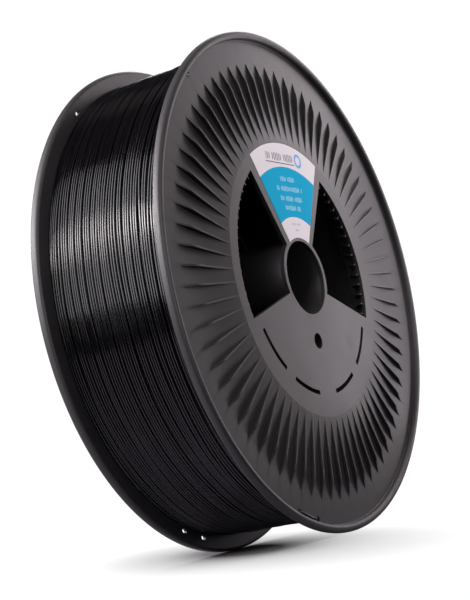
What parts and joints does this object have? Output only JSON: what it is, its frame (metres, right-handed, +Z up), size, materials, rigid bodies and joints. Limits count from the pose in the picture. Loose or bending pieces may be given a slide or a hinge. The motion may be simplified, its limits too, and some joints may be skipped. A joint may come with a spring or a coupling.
{
  "type": "filament spool",
  "caption": "Large finned filament spool with a central spindle bore, two windows in each flange and a full winding of black strand.",
  "frame": {"origin": "middle of the spindle bore, which is the centre of the spool", "axes": "+Y along the spool's axis from the labelled front face to the rear face, +Z up through the label spoke, +X to the right seen from the front"},
  "size_m": [0.35, 0.1, 0.35],
  "materials": {
    "spool_plastic": "satin moulded plastic",
    "filament": "glossy extruded strand",
    "label_paper": "smooth printed paper"
  },
  "bodies": {
    "root": {"front_flange": "spool_plastic", "rear_flange": "spool_plastic", "winding_barrel": "spool_plastic", "hub_tube": "spool_plastic", "wound_filament": "filament", "filament_end": "filament", "front_label": "label_paper"}
  },
  "joints": []
}
